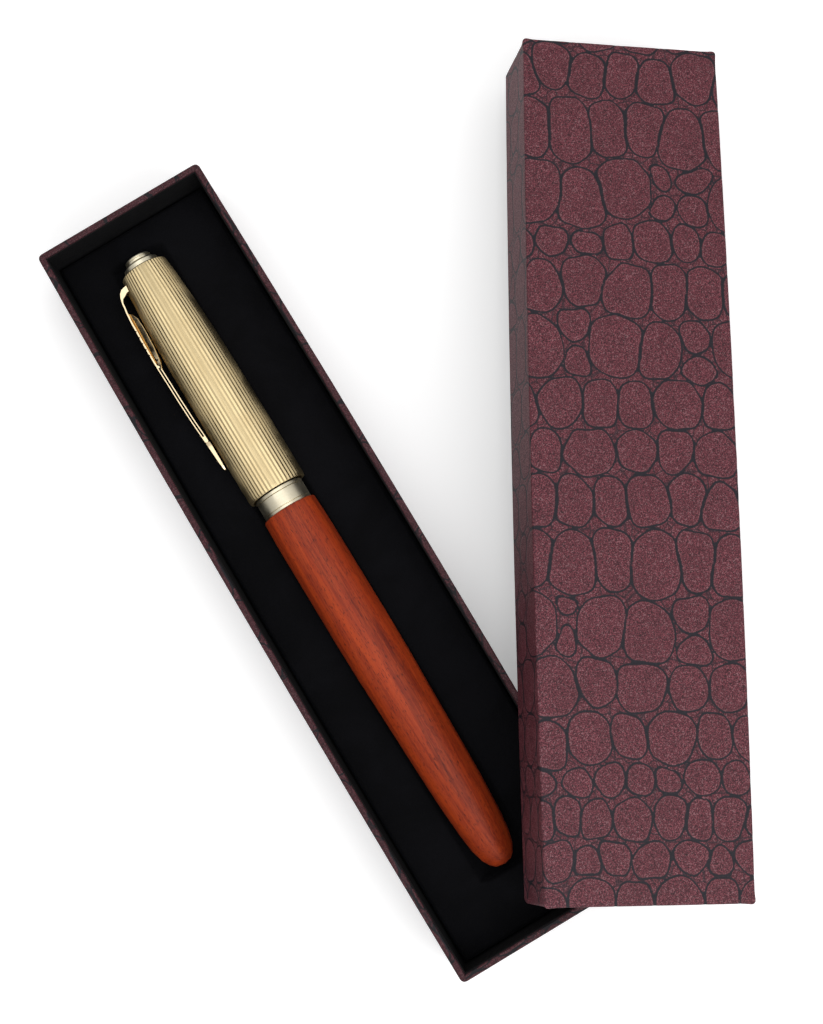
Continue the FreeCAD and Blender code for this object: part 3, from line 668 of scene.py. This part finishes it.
def bed_height(x, y):
    """Flocked surface height: flat with a soft-edged round channel for the pen."""
    yaw = math.radians(PEN_YAW)
    dx = x - PEN_AT[0]
    dy = y - PEN_AT[1]
    side = dx * math.cos(yaw) + dy * math.sin(yaw)
    along = -dx * math.sin(yaw) + dy * math.cos(yaw)
    inside = np.clip(GROOVE_R ** 2 - side ** 2, 0.0, None)
    channel = PEN_AT[2] - np.sqrt(inside) - GROOVE_GAP
    past = np.maximum(-GROOVE_BACK - along, along - GROOVE_FRONT)
    channel = channel + np.clip(past + GROOVE_END_START, 0, None) * GROOVE_END_SLOPE
    return smooth_min(np.full_like(x, BED_TOP), channel, SHOULDER)


def bed():
    """Flocked pad: the shaped top, a skirt down its sides and a flat underside."""
    low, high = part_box("bed_velvet")
    x0, y0, z0 = (c / MM for c in low)
    x1, y1, _ = (c / MM for c in high)
    half_x = (x1 - x0) / 2 - BOW
    half_y = (y1 - y0) / 2
    us = np.linspace(-half_x, half_x, BED_COLUMNS)
    vs = np.linspace(-half_y, half_y, BED_ROWS)
    uu, vv = np.meshgrid(us, vs, indexing="ij")
    bow = BOW * (1 - (vv / half_y) ** 2)
    x = uu * (1 + bow / half_x)
    y = vv.copy()
    edge = np.minimum(half_x + bow - np.abs(x), half_y - np.abs(y))
    into_roll = np.clip(EDGE_ROLL - edge, 0, None)
    drop = EDGE_ROLL - np.sqrt(np.clip(EDGE_ROLL ** 2 - into_roll ** 2, 0, None))
    rng = np.random.default_rng(5)
    z = bed_height(x, y) - drop + rng.normal(0, PILE, x.shape)
    verts = np.stack([x, y, z], axis=2).reshape(-1, 3)
    faces = []
    for i in range(BED_COLUMNS - 1):
        for j in range(BED_ROWS - 1):
            a = i * BED_ROWS + j
            faces.append((a, a + BED_ROWS, a + BED_ROWS + 1, a + 1))
    ring = [i * BED_ROWS for i in range(BED_COLUMNS - 1)]
    ring += [(BED_COLUMNS - 1) * BED_ROWS + j for j in range(BED_ROWS - 1)]
    ring += [i * BED_ROWS + BED_ROWS - 1 for i in range(BED_COLUMNS - 1, 0, -1)]
    ring += list(range(BED_ROWS - 1, 0, -1))
    points = [tuple(v) for v in verts]
    previous = ring
    for height in (*SKIRT_HEIGHTS, z0):
        start = len(points)
        for k in ring:
            points.append((verts[k][0], verts[k][1], height))
        current = list(range(start, start + len(ring)))
        for k in range(len(ring)):
            nxt = (k + 1) % len(ring)
            faces.append((previous[k], current[k], current[nxt], previous[nxt]))
        previous = current
    faces.append(tuple(previous[::-1]))
    mesh = bpy.data.meshes.new("bed_flock")
    mesh.from_pydata([Vector(p) * MM for p in points], [], faces)
    mesh.update()
    obj = add("bed_flock", mesh, "black_flock")
    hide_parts("bed_velvet")
    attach(obj, "tray")


bed()

# --------------------------------------------------------- carried CAD nodes
# Softened edges, mm, with the angle above which an edge counts as sharp.
BEVELS = {"clip": 0.06, "finial_ring": 0.08, "finial_screw": 0.05, "coupling_ring": 0.04,
          "nib": 0.05, "feed": 0.06, "converter_knob": 0.06}
OTHER_BEVELS = 0.03
SHARP = math.radians(36)
SEAM = 0.002
CRISP = ("cap_shell",)   # its fine flutes keep their facets


def finish_cad_node(name, node):
    """Material, joined seams, smooth shading and softened sharp edges."""
    mesh = node.data
    mesh.materials.clear()
    mesh.materials.append(MATERIALS["clip_gold" if name == "clip" else SLOT_OF[name]])
    if name in CRISP:
        return
    if "custom_normal" in mesh.attributes:
        mesh.attributes.remove(mesh.attributes["custom_normal"])
    mesh.polygons.foreach_set("use_smooth", [True] * len(mesh.polygons))
    mesh.edges.foreach_set("use_edge_sharp", [False] * len(mesh.edges))
    weld = node.modifiers.new("seams", "WELD")
    weld.merge_threshold = SEAM * MM
    bevel = node.modifiers.new("edges", "BEVEL")
    bevel.width = BEVELS.get(name, OTHER_BEVELS) * MM
    bevel.segments = 2
    bevel.limit_method = "ANGLE"
    bevel.angle_limit = SHARP
    bevel.harden_normals = True


for node_name, cad_node in frame["nodes"].items():
    finish_cad_node(node_name, cad_node)


# ------------------------------------------------ stage, lights and camera, m
FLOOR_HALF = 40.0
FLOOR_GLOW = 0.25        # seen by the camera only, it lights nothing
KEY_POWER = 1.3
TOP_POWER = 2.3
DOME_LOW = 0.32          # brightness near the horizon and overhead
DOME_HIGH = 0.82
DOME_SHADE = 0.75        # share of it that is left on the darker side
BACKDROP = 0.93
CAMERA_AT = (0.011485, -0.031681, 0.33828)
CAMERA_TURN = (2.93, -0.811, -0.004)
LENS = 57.6966           # mm, on a sensor 36 mm high


def stage():
    """Plain pale floor."""
    mesh = bpy.data.meshes.new("floor")
    corners = [(-FLOOR_HALF, -FLOOR_HALF, 0), (FLOOR_HALF, -FLOOR_HALF, 0),
               (FLOOR_HALF, FLOOR_HALF, 0), (-FLOOR_HALF, FLOOR_HALF, 0)]
    mesh.from_pydata(corners, [], [(0, 1, 2, 3)])
    floor = bpy.data.objects.new("floor", mesh)
    bpy.context.scene.collection.objects.link(floor)
    n = Nodes("floor_white")
    camera_ray = n.tree.nodes.new("ShaderNodeLightPath").outputs["Is Camera Ray"]
    n.set(Base_Color=(0.97, 0.97, 0.97), Roughness=0.6)
    n.set(Emission_Color=(1.0, 1.0, 1.0), Emission_Strength=n.math("MULTIPLY", camera_ray, FLOOR_GLOW))
    mesh.materials.append(n.material)


def area(name, place, target, side, power):
    """Square soft light aimed at a point."""
    data = bpy.data.lights.new(name, "AREA")
    data.shape = "RECTANGLE"
    data.size = side
    data.size_y = side
    data.energy = power
    light = bpy.data.objects.new(name, data)
    bpy.context.scene.collection.objects.link(light)
    light.location = place
    aim = Vector(target) - Vector(place)
    light.rotation_euler = aim.to_track_quat("-Z", "Y").to_euler()


def map_range(tree, value, low, high, out_low, out_high):
    """Value mapped in a straight line from one range to another."""
    node = tree.nodes.new("ShaderNodeMapRange")
    node.inputs["From Min"].default_value = low
    node.inputs["From Max"].default_value = high
    node.inputs["To Min"].default_value = out_low
    node.inputs["To Max"].default_value = out_high
    tree.links.new(value, node.inputs["Value"])
    return node.outputs["Result"]


def lights():
    """Key and top lights, and a dome that is bright overhead and dim on the left."""
    area("key", (0.16, -0.42, 0.45), (0.03, -0.05, 0.0), 0.4, KEY_POWER)
    area("top", (0.0, 0.05, 1.0), (0.02, 0.0, 0.0), 1.0, TOP_POWER)
    world = bpy.data.worlds.new("studio")
    bpy.context.scene.world = world
    world.use_nodes = True
    tree = world.node_tree
    split = tree.nodes.new("ShaderNodeSeparateXYZ")
    coords = tree.nodes.new("ShaderNodeTexCoord")
    tree.links.new(coords.outputs["Generated"], split.inputs["Vector"])
    height = map_range(tree, split.outputs["Z"], -0.1, 0.65, DOME_LOW, DOME_HIGH)
    side = map_range(tree, split.outputs["X"], -0.9, 0.1, DOME_SHADE, 1.0)
    both = tree.nodes.new("ShaderNodeMath")
    both.operation = "MULTIPLY"
    tree.links.new(height, both.inputs[0])
    tree.links.new(side, both.inputs[1])
    seen = tree.nodes.new("ShaderNodeLightPath")
    pick = tree.nodes.new("ShaderNodeMix")
    tree.links.new(seen.outputs["Is Camera Ray"], pick.inputs[0])
    tree.links.new(both.outputs[0], pick.inputs[2])
    pick.inputs[3].default_value = BACKDROP
    tree.links.new(pick.outputs[0], tree.nodes["Background"].inputs["Strength"])
    tree.nodes["Background"].inputs["Color"].default_value = (1.0, 1.0, 1.0, 1.0)


def camera():
    """Camera nearly overhead, turned so that the lid stands upright in the frame."""
    turn = Vector(CAMERA_TURN)
    rotation = Matrix.Rotation(turn.length, 3, turn.normalized())
    axis_x, axis_y, axis_z = (Vector(rotation[i]) for i in range(3))
    basis = Matrix((axis_x, -axis_y, -axis_z)).transposed().to_4x4()
    data = bpy.data.cameras.new("camera")
    data.sensor_fit = "AUTO"
    data.sensor_width = 36.0
    data.lens = LENS
    data.clip_start = 0.01
    obj = bpy.data.objects.new("camera", data)
    bpy.context.scene.collection.objects.link(obj)
    obj.matrix_world = Matrix.Translation(CAMERA_AT) @ basis
    bpy.context.scene.camera = obj


stage()
lights()
camera()
bpy.context.scene.view_settings.view_transform = "Standard"
